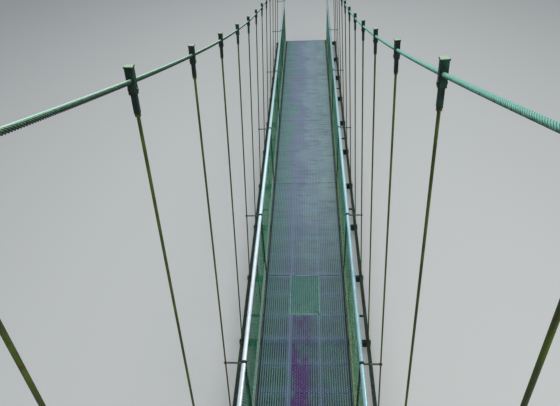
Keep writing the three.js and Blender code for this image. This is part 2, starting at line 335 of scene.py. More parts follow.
def add_turned(bm, profile, place, segments, material=0):
    """A round piece: an outline of radius and height, spun about the Z axis and put in its place."""
    verts = [bm.verts.new((radius, 0, height)) for radius, height in profile]
    edges = [bm.edges.new((verts[i], verts[(i + 1) % len(verts)])) for i in range(len(verts))]
    others = set(bm.faces)
    bmesh.ops.spin(
        bm, geom=verts + edges, cent=(0, 0, 0), axis=(0, 0, 1), angle=2 * math.pi, steps=segments,
        use_merge=True,
    )
    faces = [face for face in bm.faces if face not in others]
    made = {vert for face in faces for vert in face.verts}
    for face in faces:
        face.material_index = material
    bmesh.ops.transform(bm, verts=list(made), matrix=place)
    bmesh.ops.recalc_face_normals(bm, faces=faces)


def add_rod(bm, radius, start, end, segments, material=0):
    """A straight round bar between two points, with flat ends."""
    start, end = Vector(start), Vector(end)
    turn = (end - start).to_track_quat("Z", "Y").to_matrix().to_4x4()
    made = bmesh.ops.create_cone(
        bm, cap_ends=True, segments=segments, radius1=radius, radius2=radius, depth=(end - start).length,
        matrix=Matrix.Translation((start + end) / 2) @ turn,
    )["verts"]
    set_slot(made, material)


def add_hex(bm, size, place, material=0):
    """A nut or a bolt head that stands on its place: its size across the flats and its height."""
    across, height = size
    made = bmesh.ops.create_cone(
        bm, cap_ends=True, segments=6, radius1=across / math.sqrt(3), radius2=across / math.sqrt(3),
        depth=height, matrix=place @ Matrix.Translation((0, 0, height / 2)),
    )["verts"]
    set_slot(made, material)


# Expanded metal


def add_strand(bm, diamond, strand, middle, phase):
    """One full wave of a strand: a tilted three-sided ribbon that bends at the bonds."""
    long_way, short_way = diamond
    width, thickness = strand
    rise = Vector((0, math.cos(STRAND_TILT), math.sin(STRAND_TILT)))
    down = Vector((0, math.sin(STRAND_TILT), -math.cos(STRAND_TILT)))
    section = [-rise * width / 2, rise * width / 2, down * thickness]
    wave = [phase * short_way / 4, -phase * short_way / 4, phase * short_way / 4]
    ring = [bm.verts.new(Vector((0, middle + wave[0], 0)) + point) for point in section]
    edges = [bm.edges.new((ring[i], ring[(i + 1) % 3])) for i in range(3)]
    for i in (1, 2):
        ring, edges = extrude_ring(bm, edges)
        bmesh.ops.translate(bm, verts=ring, vec=(long_way / 2, wave[i] - wave[i - 1], 0))


def expanded_metal(width, length, diamond, strand):
    """A sheet from the origin to (width, length), its strands' upper edges towards +Y."""
    across = round(width / diamond[0])
    foot = strand[0] * math.cos(STRAND_TILT)
    pairs = round((length - foot) / diamond[1])
    fitted = (width / across, (length - foot) / pairs)
    unit = bmesh.new()
    start = foot / 2 + fitted[1] / 4
    add_strand(unit, fitted, strand, start, 1)
    add_strand(unit, fitted, strand, start + fitted[1] / 2, -1)
    sheet = repeated(unit, (across, (fitted[0], 0, 0)), (pairs, (0, fitted[1], 0)))
    close_ends(sheet)
    return sheet


def deck_sheets():
    for bay in range(1, BAYS + 1):
        low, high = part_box(f"deck_sheet_{bay}")
        sheet = expanded_metal(high.x - low.x, high.y - low.y, DECK_DIAMOND, DECK_STRAND)
        bmesh.ops.translate(sheet, verts=sheet.verts, vec=(low.x, low.y, (low.z + high.z) / 2))
        add_piece(f"deck_mesh_{bay}", sheet, [DECK_PAINT], [f"deck_sheet_{bay}"])


def deck_patch():
    """The overlay on the middle strip: the same mesh inside a border of thin flat bar."""
    low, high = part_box("deck_patch")
    border = PATCH_BORDER
    sheet = expanded_metal(high.x - low.x - border, high.y - low.y - border, DECK_DIAMOND, DECK_STRAND)
    middle = (low.z + high.z) / 2
    bmesh.ops.translate(sheet, verts=sheet.verts, vec=(low.x + border / 2, low.y + border / 2, middle))
    top = (high.z - PATCH_BORDER_THICKNESS, high.z)
    for x in ((low.x, low.x + border), (high.x - border, high.x)):
        add_box(sheet, x, (low.y, high.y), top, bevel=PATCH_EDGE, material=1)
    for y in ((low.y, low.y + border), (high.y - border, high.y)):
        add_box(sheet, (low.x + border, high.x - border), y, top, bevel=PATCH_EDGE, material=1)
    add_piece("patch_mesh", sheet, [PATCH_PAINT, PATCH_EDGE_PAINT], ["deck_patch"])


# Side panels


def panel_spans():
    """Where each side panel starts and ends along the bridge."""
    joints = [
        bay * BAY_LENGTH + STATION_0 + PANEL_JOINT_BAR * BAR_PITCH
        for bay in range(1, BAYS - 1)
    ]
    starts = [STATION_0] + [y + PANEL_GAP / 2 for y in joints]
    ends = [y - PANEL_GAP / 2 for y in joints] + [END_FACE - STATION_0]
    return list(zip(starts, ends))


def link_mesh(start, end):
    """Chain link: upright zigzag wires whose corners hook over their neighbours', in the plane x 0."""
    wires = round((end - start) / LINK_PITCH)
    pitch = (end - start) / wires
    height = PANEL_TOP - PANEL_BOTTOM - 2 * PANEL_ROD
    waves = round(height / 2 / LINK_PITCH)
    rise = height / waves / 2
    unit = bmesh.new()
    circle = bmesh.ops.create_circle(unit, segments=4, radius=LINK_WIRE)["verts"]
    edges = list({edge for vert in circle for edge in vert.link_edges})
    bmesh.ops.translate(unit, verts=circle, vec=(-LINK_WIRE, -LINK_WIRE / 2, 0))
    for reach in (1, -1):
        ring, edges = extrude_ring(unit, edges)
        step = (reach * 2 * LINK_WIRE, reach * (pitch + LINK_WIRE), rise)
        bmesh.ops.translate(unit, verts=ring, vec=step)
    mesh = repeated(unit, (waves, (0, 0, 2 * rise)), (wires, (0, pitch, 0)))
    close_ends(mesh)
    bmesh.ops.translate(mesh, verts=mesh.verts, vec=(0, start, PANEL_BOTTOM + PANEL_ROD))
    return mesh


def kick_mesh(side, start, end):
    """A panel's kick strip: expanded metal stood upright on the inner side of the wires."""
    kick = expanded_metal(end - start, KICK_HEIGHT, KICK_DIAMOND, KICK_STRAND)
    inner = side * (RAIL_AT - KICK_INSET)
    upright = Matrix(((0, 0, -side, inner), (1, 0, 0, start), (0, 1, 0, PANEL_BOTTOM), (0, 0, 0, 1)))
    bmesh.ops.transform(kick, verts=kick.verts, matrix=upright)
    bmesh.ops.recalc_face_normals(kick, faces=kick.faces)
    return kick


def add_panel_frame(bm, side, start, end):
    """A panel's rods along its top and bottom, its end bars, and its foot bar beside the deck."""
    x = side * RAIL_AT
    for z in (PANEL_BOTTOM + PANEL_ROD, PANEL_TOP - PANEL_ROD):
        add_rod(bm, PANEL_ROD, (x, start, z), (x, end, z), segments=10)
    foot = sorted((side * (DECK_HALF + FOOT_BAR_GAP), x))
    add_box(bm, foot, (start, end), (PANEL_BOTTOM, PANEL_BOTTOM + FOOT_BAR_THICKNESS))
    for y in ((start, start + PANEL_END_BAR), (end - PANEL_END_BAR, end)):
        add_box(bm, around(x, 2 * PANEL_ROD), y, (PANEL_BOTTOM, PANEL_TOP), bevel=SOFT_EDGE)


def add_post(bm, side, y):
    """A square post with its foot plate bolted to the crossbeam."""
    x = side * RAIL_AT
    foot = BEAM_HALF_HEIGHT + FOOT_SEAT
    foot_x, foot_y, foot_z = POST_FOOT
    inner = side * (RAIL_AT - POST_SIZE / 2)
    outer = inner + side * foot_x
    add_box(bm, around(x, POST_SIZE), around(y, POST_SIZE), (foot, PANEL_TOP), bevel=POST_EDGE)
    add_box(bm, sorted((inner, outer)), around(y, foot_y), (foot, foot + foot_z), bevel=SOFT_EDGE)
    add_hex(bm, FOOT_BOLT, Matrix.Translation((outer - side * FOOT_BOLT_INSET, y, foot + foot_z)))


def side_panels():
    spans = panel_spans()
    for name, side in SIDES.items():
        for number, (start, end) in enumerate(spans, 1):
            node = f"side_panel_{name}_{number}"
            mesh = link_mesh(start, end)
            bmesh.ops.translate(mesh, verts=mesh.verts, vec=(side * RAIL_AT, 0, 0))
            add_piece(f"side_mesh_{name}_{number}", mesh, [LINK_PAINT[name]], [node])

            kick = kick_mesh(side, start, end)
            add_piece(f"kick_mesh_{name}_{number}", kick, [KICK_PAINT[name]], [node])

            bars = bmesh.new()
            add_panel_frame(bars, side, start, end)
            for station in range(0, STATIONS, 2):
                if start <= station_y(station) <= end:
                    add_post(bars, side, station_y(station))
            add_piece(f"panel_frame_{name}_{number}", bars, [FRAME_PAINT], [node])


# Handrails


def rail_pipe(x):
    """An open pipe as long as the bridge, with its real wall."""
    pipe = bmesh.new()
    place = Matrix.Translation((x, 0, RAIL_AXIS)) @ ALONG_BRIDGE
    bmesh.ops.create_circle(pipe, segments=RAIL_SIDES, radius=RAIL_RADIUS, matrix=place)
    far, _ = extrude_ring(pipe, pipe.edges[:])
    bmesh.ops.translate(pipe, verts=far, vec=(0, END_FACE, 0))
    bmesh.ops.recalc_face_normals(pipe, faces=pipe.faces)
    bmesh.ops.solidify(pipe, geom=pipe.faces[:], thickness=RAIL_WALL)
    bmesh.ops.recalc_face_normals(pipe, faces=pipe.faces)
    return pipe


def add_collar(bm, x, y):
    """The dark band around a rail where a tie holds it."""
    half = COLLAR_LENGTH / 2
    inner = RAIL_RADIUS + COLLAR_PLAY
    soft = COLLAR_EDGE
    band = [
        (inner, -half), (COLLAR_RADIUS - soft, -half), (COLLAR_RADIUS, soft - half),
        (COLLAR_RADIUS, half - soft), (COLLAR_RADIUS - soft, half), (inner, half),
    ]
    add_turned(bm, band, Matrix.Translation((x, y, RAIL_AXIS)) @ ALONG_BRIDGE, segments=32)


def add_tie(bm, side, y):
    """The flat bar from a rail's collar to the eye around the rod."""
    rod = side * HANGER_AT_RAIL
    at_collar = side * (RAIL_AT + COLLAR_RADIUS - TIE_INTO_COLLAR)
    at_rod = rod - side * (ROD_RADIUS + TIE_SHORT_OF_ROD)
    level = around(RAIL_AXIS, TIE_THICKNESS)
    add_box(bm, sorted((at_collar, at_rod)), around(y, TIE_WIDTH), level, bevel=SOFT_EDGE)
    half = TIE_THICKNESS / 2
    inner = ROD_RADIUS + TIE_EYE_PLAY
    eye = [(inner, -half), (TIE_EYE_RADIUS, -half), (TIE_EYE_RADIUS, half), (inner, half)]
    add_turned(bm, eye, Matrix.Translation((rod, y, RAIL_AXIS)) @ leaned(side), segments=20)


def handrails():
    for name, side in SIDES.items():
        x = side * RAIL_AT
        node = f"handrail_{name}"
        add_piece(f"rail_pipe_{name}", rail_pipe(x), [RAIL_PAINT[name]], [node], smooth=True)

        bands = bmesh.new()
        ties = bmesh.new()
        for station in range(0, STATIONS, 2):
            add_collar(bands, x, station_y(station))
            add_tie(ties, side, station_y(station))
        add_piece(f"rail_collars_{name}", bands, [COLLAR_BLACK], [node])
        add_piece(f"rail_ties_{name}", ties, [FRAME_PAINT], [node])


# Main cables


def rope_section(bm):
    """The outline of a rope of six strands, around the Y axis: each strand from one valley to the next."""
    strand_shape = (
        (0.0, VALLEY_RADIUS), (0.22, SHOULDER_RADIUS), (0.5, CABLE_RADIUS), (0.78, SHOULDER_RADIUS),
    )
    strand = 2 * math.pi / ROPE_STRANDS
    verts = []
    for i in range(ROPE_STRANDS):
        for turn, radius in strand_shape:
            angle = (i + turn) * strand
            verts.append(bm.verts.new((radius * math.cos(angle), 0, radius * math.sin(angle))))
    count = len(verts)
    return verts + [bm.edges.new((verts[i], verts[(i + 1) % count])) for i in range(count)]


def laid_rope(ridges):
    """A straight rope along +Y: one ridge's length, spun by a strand, repeated, sharp in its valleys."""
    unit = bmesh.new()
    bmesh.ops.spin(
        unit, geom=rope_section(unit), cent=(0, 0, 0), axis=(0, 1, 0), dvec=(0, RING_STEP, 0),
        angle=2 * math.pi / ROPE_STRANDS, steps=RINGS_PER_RIDGE, use_merge=False,
    )
    for edge in unit.edges:
        outer_end = max(math.hypot(vert.co.x, vert.co.z) for vert in edge.verts)
        edge.smooth = outer_end > VALLEY_RADIUS + 1e-4
    return repeated(unit, (ridges, (0, ROPE_RIDGE_STEP, 0)))


def cable_frames(side, steps):
    """A main cable's place and cross axes after each step, from two steps before the near end."""
    y = -2 * RING_STEP
    frames = []
    for _ in range(steps + 1):
        z = cable_height(y)
        slope = cable_slope(y)
        along = Vector((-side * LEAN * slope, 1, slope)).normalized()
        across = along.cross(Vector((side * LEAN, 0, 1))).normalized()
        frames.append((Vector((side * hanger_at(z), y, z)), across, across.cross(along)))
        y += RING_STEP * along.y
    return frames


def main_cables():
    """Each cable is a straight laid rope, carried onto the cable's curve and cut square at both ends."""
    ridges = math.ceil(END_FACE * math.hypot(1, cable_slope(0)) / ROPE_RIDGE_STEP)
    for name, side in SIDES.items():
        rope = laid_rope(ridges)
        frames = cable_frames(side, ridges * RINGS_PER_RIDGE)
        for vert in rope.verts:
            origin, across, over = frames[round(vert.co.y / RING_STEP)]
            vert.co = origin + across * vert.co.x + over * vert.co.z
        for y, outwards in ((0, -1), (END_FACE, 1)):
            bmesh.ops.bisect_plane(
                rope, geom=rope.verts[:] + rope.edges[:] + rope.faces[:], plane_co=(0, y, 0),
                plane_no=(0, outwards, 0), clear_outer=True,
            )
        close_ends(rope)
        node = f"main_cable_{name}"
        add_piece(f"wire_rope_{name}", rope, [ROPE_PAINT[name]], [node], smooth=True)


# Hangers


def add_threads(bm, low, high, material):
    """Turned ridges that stand for a screw thread."""
    outline = [(THREAD_CORE, low)]
    for i in range(round((high - low) / THREAD_PITCH)):
        outline += [(THREAD_ROOT, low + i * THREAD_PITCH), (THREAD_CREST, low + (i + 0.5) * THREAD_PITCH)]
    outline += [(THREAD_ROOT, high), (THREAD_CORE, high)]
    add_turned(bm, outline, Matrix(), segments=10, material=material)


def add_clamp_block(bm, slope):
    """The block around the cable: its hole is round and follows the cable's slope."""
    half_x, half_y = CLAMP_WIDTH / 2, CLAMP_DEPTH / 2
    corners = [(-half_x, CLAMP_BOTTOM), (half_x, CLAMP_BOTTOM), (half_x, CLAMP_TOP), (-half_x, CLAMP_TOP)]
    turns = [2 * math.pi * i / CABLE_HOLE_SIDES for i in range(CABLE_HOLE_SIDES)]
    circle = [(CABLE_HOLE_RADIUS * math.cos(turn), CABLE_HOLE_RADIUS * math.sin(turn)) for turn in turns]
    edges = []
    for outline, drop in ((corners, 0), (circle, slope * half_y)):
        verts = [bm.verts.new((x, -half_y, z - drop)) for x, z in outline]
        edges += [bm.edges.new((verts[i - 1], verts[i])) for i in range(len(verts))]
    filled = bmesh.ops.triangle_fill(bm, use_beauty=True, edges=edges)["geom"]
    front = [item for item in filled if isinstance(item, bmesh.types.BMFace)]
    made = bmesh.ops.extrude_face_region(bm, geom=front)["geom"]
    for vert in (item for item in made if isinstance(item, bmesh.types.BMVert)):
        in_hole = abs(vert.co.x) < (CABLE_HOLE_RADIUS + half_x) / 2
        vert.co += Vector((0, CLAMP_DEPTH, slope * CLAMP_DEPTH if in_hole else 0))


def add_clamp(bm, slope):
    """A hanger's top: the block on the cable, its cap plate, its bolts, and the sleeve for the rod."""
    add_clamp_block(bm, slope)
    cap_x, cap_y, cap_z = CAP_PLATE
    sleeve = around(0, SLEEVE_SIZE)
    add_box(bm, around(0, cap_x), around(0, cap_y), (CLAMP_TOP, CLAMP_TOP + cap_z), bevel=CAP_EDGE)
    add_box(bm, sleeve, sleeve, (SLEEVE_BOTTOM, CLAMP_BOTTOM), bevel=SLEEVE_EDGE)
    for out in (-1, 1):
        place = Matrix.Translation((out * CLAMP_WIDTH / 2, 0, CLAMP_BOTTOM + CLAMP_BOLT_UP))
        add_hex(bm, CLAMP_BOLT, place @ Matrix.Rotation(out * math.pi / 2, 4, "Y"))


def add_hung_rod(bm, beam_bottom):
    """The rod from its sleeve to under the beam, threaded at both ends, with its washer plate and nuts."""
    washer = around(0, WASHER_SIZE)
    washer_top = beam_bottom - WASHER_DROP
    washer_bottom = washer_top - WASHER_THICKNESS
    add_box(bm, washer, washer, (washer_bottom, washer_top), bevel=WASHER_EDGE)
    shank_low = washer_bottom - THREAD_END
    shank_high = SLEEVE_BOTTOM - UPPER_THREAD
    add_rod(bm, ROD_RADIUS, (0, 0, shank_low), (0, 0, shank_high), segments=16, material=1)
    add_threads(bm, washer_bottom - ROD_BELOW_BEAM, shank_low, 1)
    add_threads(bm, shank_high, SLEEVE_BOTTOM + THREAD_END, 1)
    for seat in (washer_bottom, SLEEVE_BOTTOM):
        add_hex(bm, NUT, Matrix.Translation((0, 0, seat - NUT_GAP - NUT[1])), material=1)


def hangers():
    """Each hanger is made upright, with its origin on the cable's axis, then leaned into its place."""
    for name, side in SIDES.items():
        for station in range(STATIONS):
            y = station_y(station)
            z = cable_height(y)
            bm = bmesh.new()
            add_clamp(bm, cable_slope(y) / math.cos(LEAN_ANGLE))
            add_hung_rod(bm, -(z + BEAM_HALF_HEIGHT) / math.cos(LEAN_ANGLE))
            place = Matrix.Translation((side * hanger_at(z), y, z)) @ leaned(side)
            bmesh.ops.transform(bm, verts=bm.verts, matrix=place)
            bmesh.ops.recalc_face_normals(bm, faces=bm.faces)
            number = f"{name}_{station:02d}"
            paints = [CLAMP_PAINT, ROD_PAINT]
            add_piece(f"hung_rod_{number}", bm, paints, [f"hanger_{number}"])


# Shader nodes


def feed(tree, socket, value):
    """Links another node's output to an input, or sets the input to a value."""
    if isinstance(value, bpy.types.NodeSocket):
        tree.links.new(value, socket)
    else:
        socket.default_value = value


def put(tree, kind, inputs=None, **settings):
    """A node with its settings, and its inputs set to values or fed by other nodes' outputs."""
    made = tree.nodes.new(kind)
    for name, value in settings.items():
        setattr(made, name, value)
    for name, value in (inputs or {}).items():
        feed(tree, made.inputs[name], value)
    return made


def rgba(value):
    """A colour with its alpha; a number or an output as it is."""
    return (*value, 1) if isinstance(value, tuple) else value


def calc(tree, operation, *values):
    return put(tree, "ShaderNodeMath", dict(enumerate(values)), operation=operation).outputs[0]


def times(tree, *values):
    return calc(tree, "MULTIPLY", *values)


def ease(tree, value, first, last, start=0.0, end=1.0):
    """A soft step from start, where the value is first, to end, where it is last."""
    values = {0: value, 1: first, 2: last, 3: start, 4: end}
    return put(tree, "ShaderNodeMapRange", values, interpolation_type="SMOOTHSTEP").outputs[0]


def blend(tree, share, under, over):
    """The under colour with a share of the over colour on it."""
    values = {0: share, 6: rgba(under), 7: rgba(over)}
    return put(tree, "ShaderNodeMix", values, data_type="RGBA").outputs[2]


def mottle(tree, place, scale, detail=4.0, roughness=0.6):
    values = {"Vector": place, "Scale": scale, "Detail": detail, "Roughness": roughness}
    return put(tree, "ShaderNodeTexNoise", values).outputs[0]


def object_place(tree):
    return put(tree, "ShaderNodeTexCoord").outputs["Object"]


def part_of(tree, vector, axis):
    return put(tree, "ShaderNodeSeparateXYZ", {0: vector}).outputs[axis]


def facing_up(tree):
    """How far the surface faces upwards, from -1 to 1."""
    return part_of(tree, put(tree, "ShaderNodeTexCoord").outputs["Normal"], "Z")


def stretched(tree, place, scale):
    return put(tree, "ShaderNodeVectorMath", {0: place, 1: scale}, operation="MULTIPLY").outputs[0]


def new_group(name, inputs, outputs):
    """An empty node group: its inputs are named values or colours, its outputs are named kinds."""
    tree = bpy.data.node_groups.new(name, "ShaderNodeTree")
    for label, value in inputs.items():
        kind = "NodeSocketColor" if isinstance(value, tuple) else "NodeSocketFloat"
        socket = tree.interface.new_socket(label, in_out="INPUT", socket_type=kind)
        socket.default_value = rgba(value)
    for label, kind in outputs.items():
        tree.interface.new_socket(label, in_out="OUTPUT", socket_type=kind)
    return tree, tree.nodes.new("NodeGroupInput").outputs


def close_group(tree, outputs):
    put(tree, "NodeGroupOutput", outputs)
    return tree


def use_group(tree, group, values):
    """A group placed in a material with its own values."""
    made = tree.nodes.new("ShaderNodeGroup")
    made.node_tree = group
    for label, value in values.items():
        feed(tree, made.inputs[label], rgba(value))
    return made.outputs


def aged_paint_group():
    """Paint that has faded in patches and holds dirt; its grain and the dirt stand up a little."""
    inputs = {
        "Paint": (0.1, 0.2, 0.1), "Faded": (0.2, 0.3, 0.2), "Dirt": (0.03, 0.02, 0.01),
        "Patch scale": 3.0, "Fading": 0.4, "Dirtiness": 0.3, "Grain scale": 180.0,
    }
    outputs = {"Color": "NodeSocketColor", "Dull": "NodeSocketFloat", "Height": "NodeSocketFloat"}
    tree, given = new_group("aged_paint", inputs, outputs)
    place = object_place(tree)
    patch = given["Patch scale"]
    broad = mottle(tree, place, patch, 5.0)
    fading = ease(tree, calc(tree, "ADD", broad, times(tree, given["Fading"], 0.4)), 0.58, 0.78)
    streaks = mottle(tree, stretched(tree, place, (9.0, 9.0, 1.6)), patch)
    fine = mottle(tree, place, times(tree, patch, 11.0), 5.0, 0.65)
    settled = calc(tree, "ADD", times(tree, streaks, 0.5), times(tree, fine, 0.5))
    dirt = ease(tree, calc(tree, "ADD", settled, times(tree, given["Dirtiness"], 0.35)), 0.56, 0.74)
    grain = mottle(tree, place, given["Grain scale"], 3.0)
    faded = blend(tree, fading, given["Paint"], given["Faded"])
    shade = blend(tree, ease(tree, grain, 0.35, 0.7, 0.25, 0.0), faded, (0.0, 0.0, 0.0))
    color = blend(tree, dirt, shade, given["Dirt"])
    dull = calc(tree, "MAXIMUM", times(tree, fading, 0.5), dirt)
    height = calc(tree, "ADD", times(tree, grain, 0.4), times(tree, dirt, 0.6))
    return close_group(tree, {"Color": color, "Dull": dull, "Height": height})


def growth_group():
    """Moss and rust stains that gather in blots and drips on a darker ground."""
    inputs = {
        "Ground": (0.1, 0.2, 0.1), "Growth": (0.2, 0.3, 0.1), "Stain": (0.2, 0.1, 0.03),
        "Scale": 8.0, "Share": 0.5,
    }
    outputs = {"Color": "NodeSocketColor", "Mask": "NodeSocketFloat"}
    tree, given = new_group("moss_and_rust", inputs, outputs)
    place = object_place(tree)
    blots = mottle(tree, stretched(tree, place, (1.0, 1.0, 0.35)), given["Scale"], 6.0, 0.65)
    mask = ease(tree, calc(tree, "ADD", blots, times(tree, given["Share"], 0.3)), 0.55, 0.75)
    rust = mottle(tree, place, times(tree, given["Scale"], 2.7), 5.0, 0.7)
    stained = ease(tree, rust, 0.55, 0.68)
    color = blend(tree, stained, blend(tree, mask, given["Ground"], given["Growth"]), given["Stain"])
    return close_group(tree, {"Color": color, "Mask": calc(tree, "MAXIMUM", mask, stained)})


def even_lines_group():
    """Narrow lines at an even pitch of a coordinate."""
    inputs = {"Place": 0.0, "Start": 0.0, "Pitch": 1.0, "Half width": 0.01, "Softness": 0.004}
    tree, given = new_group("even_lines", inputs, {"Mask": "NodeSocketFloat"})
    turns = calc(tree, "DIVIDE", calc(tree, "SUBTRACT", given["Place"], given["Start"]), given["Pitch"])
    nearest = calc(tree, "ABSOLUTE", calc(tree, "SUBTRACT", turns, calc(tree, "ROUND", turns)))
    distance = times(tree, nearest, given["Pitch"])
    outer = calc(tree, "ADD", given["Half width"], given["Softness"])
    return close_group(tree, {"Mask": ease(tree, distance, outer, given["Half width"], 0.0, 1.0)})


AGED_PAINT = aged_paint_group()
MOSS_AND_RUST = growth_group()
EVEN_LINES = even_lines_group()


def even_lines(tree, place, lines, strength):
    """A mask of even lines, as strong as given."""
    values = {"Place": place, **dict(zip(("Start", "Pitch", "Half width", "Softness"), lines))}
    return times(tree, use_group(tree, EVEN_LINES, values)["Mask"], strength)


def new_material(name):
    """A material with a Principled shader, and its node tree."""
    material = bpy.data.materials.new(name)
    material.use_nodes = True
    return material, material.node_tree, material.node_tree.nodes["Principled BSDF"]


def set_surface(tree, shader, color, roughness, height, specular=0.25, relief=0.0003):
    """What every paint sets on its shader; relief is the depth of its bumps in metres."""
    feed(tree, shader.inputs["Base Color"], color)
    feed(tree, shader.inputs["Roughness"], roughness)
    shader.inputs["Specular IOR Level"].default_value = specular
    bump = put(tree, "ShaderNodeBump", {"Height": height, "Distance": relief, "Strength": 1.0})
    feed(tree, shader.inputs["Normal"], bump.outputs[0])


def gloss(tree, dull, clean, worn):
    """A roughness between clean paint's and worn paint's."""
    return ease(tree, dull, 0.0, 1.0, clean, worn)


# Plain and aged paints

DARK_DIRT = (0.012, 0.011, 0.007)
UNDER_DECK_EDGE = (DECK_HALF, DECK_HALF - 0.01)


def floor_paint():
    material, _, shader = new_material("floor_paint")
    shader.inputs["Base Color"].default_value = (0.36, 0.36, 0.35, 1)
    shader.inputs["Roughness"].default_value = 0.9
    return material


def painted(name, paint, faded, dirt, patch=3.0, dirtiness=0.3):
    """Aged paint in three colours: the paint, where it has faded, and the dirt on it."""
    material, tree, shader = new_material(name)
    aged = use_group(tree, AGED_PAINT, {
        "Paint": paint, "Faded": faded, "Dirt": dirt, "Patch scale": patch, "Dirtiness": dirtiness,
    })
    set_surface(tree, shader, aged["Color"], gloss(tree, aged["Dull"], 0.35, 0.7), aged["Height"])
    return material


def beam_paint():
    """The deck frame's paint: pale under the deck, as painted light on the frame seen through the mesh, and
    dark green outside it.
    """
    material, tree, shader = new_material("beam_paint")
    from_middle = calc(tree, "ABSOLUTE", part_of(tree, object_place(tree), "X"))
    # painted light on the frame where it lies under the mesh
    painted_light_under_deck = use_group(tree, AGED_PAINT, {
        "Paint": (0.2, 0.28, 0.31), "Faded": (0.2, 0.32, 0.31), "Dirt": (0.1, 0.13, 0.12),
        "Dirtiness": 0.2,
    })
    outside = use_group(tree, AGED_PAINT, {
        "Paint": (0.006, 0.028, 0.02), "Faded": (0.015, 0.05, 0.035), "Dirt": DARK_DIRT,
        "Dirtiness": 0.4,
    })
    inside = ease(tree, from_middle, *UNDER_DECK_EDGE)
    color = blend(tree, inside, outside["Color"], painted_light_under_deck["Color"])
    set_surface(tree, shader, color, gloss(tree, outside["Dull"], 0.5, 0.75), outside["Height"], 0.15)
    return material


# The deck's and the patch's paint

# Painted light over the bars, the beams and the stringers that lie under the mesh
BAR_LIGHT = (0.05, 0.1, 0.17)
BEAM_LIGHT = (0.1, 0.155, 0.2)
STRINGER_LIGHT = (0.085, 0.115, 0.19)
WORN_PURPLE = (0.045, 0.012, 0.095)
JOINT_DARK = (0.005, 0.012, 0.015)
# Painted highlights along the mesh's strands, on the deck and on the patch
STRAND_HIGHLIGHT = (0.13, 0.25, 0.27)
PATCH_STRAND_HIGHLIGHT = (0.15, 0.28, 0.27)
RIGHT_GREEN = (0.03, 0.12, 0.07)
# The painted sheen on the far bays: its tones across the deck, and its streaks
FAR_SHEEN_TONES = (
    (-0.42, -0.28, (0.17, 0.205, 0.275)),
    (-0.12, 0.1, (0.205, 0.275, 0.31)),
    (0.3, 0.5, (0.27, 0.36, 0.37)),
)
FAR_LEFT_SHEEN = (0.14, 0.235, 0.235)
FAR_STREAK = (0.07, 0.1, 0.13)

# Even lines, each with its start, pitch, half width and softness
HALF_FLANGE = BEAM_FLANGE / 2
# Where the painted highlights along the strands lie
STRAND_HIGHLIGHT_LINES = (0.0, DECK_DIAMOND[0] / 2, 0.003, 0.006)
OVER_BARS = (STATION_0, BAR_PITCH, 0.02, 0.09)
OVER_JOINT_BEAMS = (0.0, BAY_LENGTH, BEAM_FLANGE, 0.01)
OVER_MIDDLE_BEAMS = (STATION_PITCH + HALF_FLANGE, BAY_LENGTH, HALF_FLANGE, 0.01)
SHEET_JOINTS = (0.0, BAY_LENGTH, 0.006, 0.003)

# How strong the painted light over each inner stringer is, by its side
STRINGER_LIGHT_STRENGTH = ((-1, 0.7), (1, 0.4))

# Where a look comes in: it starts at the first place and is whole at the second
LANE_FROM_LEFT = (-0.185, -0.165)
LANE_FROM_RIGHT = (0.17, -0.03)
LANE_FROM_FAR = (4.1, 4.06)
TINT_FROM_EDGES = (0.4, 0.1)
STRIP_EDGE = (STRINGER_HALF_WIDTH + 0.007, STRINGER_HALF_WIDTH)
STRIPS_WEAKER = (3.0, 8.0)
GREEN_FROM_MIDDLE = (0.15, 0.4)
GREEN_FROM_FAR = (5.0, 3.0)
# Where the painted sheen on the far bays comes in
SHEEN_FROM_NEAR = (2.5, 8.0)
EDGE_DARKENING = (0.565, 0.58)


def frame_light_and_highlights(tree, x, y, color):
    """Painted light over the bars and beams under the mesh, and painted highlights along the mesh's
    strands.
    """
    at_joints = even_lines(tree, y, OVER_JOINT_BEAMS, 0.3)
    at_middles = even_lines(tree, y, OVER_MIDDLE_BEAMS, 0.3)
    color = blend(tree, even_lines(tree, y, OVER_BARS, 0.4), color, BAR_LIGHT)
    color = blend(tree, even_lines(tree, x, STRAND_HIGHLIGHT_LINES, 0.75), color, STRAND_HIGHLIGHT)
    return blend(tree, calc(tree, "ADD", at_joints, at_middles), color, BEAM_LIGHT)


def purple_wear(tree, place, x, y):
    """Where the middle is worn to purple: in blotches in the near lane, and faintly all along."""
    lane = times(tree, ease(tree, x, *LANE_FROM_LEFT), ease(tree, x, *LANE_FROM_RIGHT, 0.25, 1.0))
    near_end = ease(tree, y, *LANE_FROM_FAR)
    blotches = mottle(tree, stretched(tree, place, (1.0, 0.7, 1.0)), 5.5)
    worn = times(tree, times(tree, lane, near_end), ease(tree, blotches, 0.42, 0.58, 0.2, 1.0))
    tint = times(tree, ease(tree, mottle(tree, place, 1.3), 0.46, 0.64), 0.5)
    middle = ease(tree, calc(tree, "ABSOLUTE", x), *TINT_FROM_EDGES)
    return calc(tree, "MAXIMUM", worn, times(tree, tint, middle))


def stringer_strips(tree, x, y, color):
    """Painted light in strips over the inner stringers under the mesh, more on the left one, and less away
    from the near end.
    """
    near = ease(tree, y, *STRIPS_WEAKER, 1.0, 0.35)
    for side, strength in STRINGER_LIGHT_STRENGTH:
        off = calc(tree, "ABSOLUTE", calc(tree, "SUBTRACT", x, side * STRINGER_AT))
        strip = ease(tree, off, *STRIP_EDGE, 0.0, strength)
        color = blend(tree, times(tree, strip, near), color, STRINGER_LIGHT)
    return color


def far_sheen_tone(tree, place, x):
    """The far bays' painted sheen, from grey green at the left to pale at the right, streaked across."""
    wander = times(tree, calc(tree, "SUBTRACT", mottle(tree, place, 1.9), 0.5), 0.9)
    across = calc(tree, "ADD", x, wander)
    tone = FAR_LEFT_SHEEN
    for start, end, further in FAR_SHEEN_TONES:
        tone = blend(tree, ease(tree, across, start, end), tone, further)
    streaks = mottle(tree, stretched(tree, place, (1.0, 7.0, 1.0)), 3.0, 3.0)
    return blend(tree, ease(tree, streaks, 0.5, 0.68, 0.0, 0.45), tone, FAR_STREAK)


